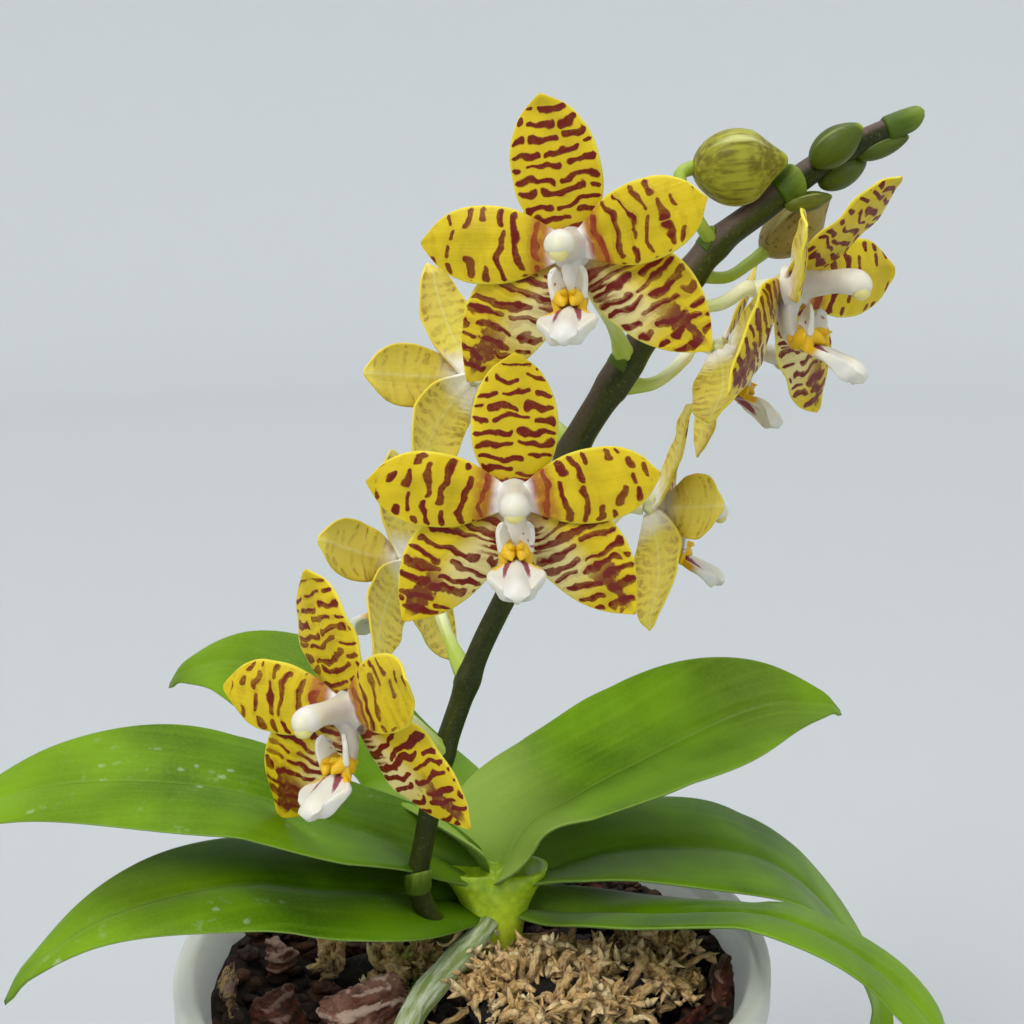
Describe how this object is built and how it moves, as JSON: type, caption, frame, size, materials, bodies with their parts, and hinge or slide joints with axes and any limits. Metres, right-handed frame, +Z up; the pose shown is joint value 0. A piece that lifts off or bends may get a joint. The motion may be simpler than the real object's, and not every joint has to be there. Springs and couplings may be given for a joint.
{
  "type": "potted moth orchid",
  "caption": "Potted moth orchid: a fan of broad leathery leaves, an arching spike of barred yellow blooms and closed buds, in bark and moss in a translucent pot.",
  "frame": {"origin": "centre of the pot's underside", "axes": "+Z up the pot and the plant, -Y towards the side that the blooms face, +X to the side that the spike's tip leans to"},
  "size_m": [0.195, 0.12, 0.2723],
  "materials": {
    "clear_pot": "translucent grey-green plastic, semi-gloss, slightly clouded",
    "potting_mix": "dark damp bark crumb, matt",
    "bark": "reddish-brown pine bark, rough, split along the grain",
    "moss": "dried sphagnum, straw and tan, fibrous and matt",
    "root": "silver-green aerial root, satin, with lengthwise streaks",
    "crown": "yellow-green clasping leaf bases, satin",
    "leaf": "leathery green leaf, satin, paler margin and midrib groove",
    "spike": "dark olive stem with a mauve-grey bloom, satin",
    "tepals": "waxy yellow petals with dark red-brown bars, satin",
    "lip": "waxy white lip and column with yellow and fine red marks",
    "pedicel": "pale yellow-green flower stalk, satin",
    "bud": "closed olive-green bud with brown mottling and pale seams, satin"
  },
  "bodies": {
    "root": {"pot": "clear_pot", "potting_mix": "potting_mix", "bark_chip_1": "bark", "bark_chip_2": "bark", "bark_chip_3": "bark", "bark_chip_4": "bark", "bark_chip_5": "bark", "bark_chip_6": "bark", "bark_chip_7": "bark", "bark_chip_8": "bark", "bark_chip_9": "bark", "bark_chip_10": "bark", "bark_chip_11": "bark", "bark_chip_12": "bark", "bark_chip_13": "bark", "bark_chip_14": "bark", "sphagnum_main": "moss", "sphagnum_left": "moss", "aerial_root": "root", "crown": "crown", "leaf_1": "leaf", "leaf_2": "leaf", "leaf_3": "leaf", "leaf_4": "leaf", "leaf_5": "leaf", "leaf_6": "leaf", "flower_spike": "spike", "bloom_1_tepals": "tepals", "bloom_1_lip_column": "lip", "bloom_1_pedicel": "pedicel", "bloom_2_tepals": "tepals", "bloom_2_lip_column": "lip", "bloom_2_pedicel": "pedicel", "bloom_3_tepals": "tepals", "bloom_3_lip_column": "lip", "bloom_3_pedicel": "pedicel", "bloom_4_tepals": "tepals", "bloom_4_lip_column": "lip", "bloom_4_pedicel": "pedicel", "bloom_5_tepals": "tepals", "bloom_5_lip_column": "lip", "bloom_5_pedicel": "pedicel", "bloom_6_tepals": "tepals", "bloom_6_lip_column": "lip", "bloom_6_pedicel": "pedicel", "bloom_7_tepals": "tepals", "bloom_7_lip_column": "lip", "bloom_7_pedicel": "pedicel", "bloom_8_tepals": "tepals", "bloom_8_lip_column": "lip", "bloom_8_pedicel": "pedicel", "bud_1": "bud", "bud_2": "bud", "bud_3": "bud", "bud_4": "bud", "bud_5": "bud", "bud_6": "bud"}
  },
  "joints": []
}
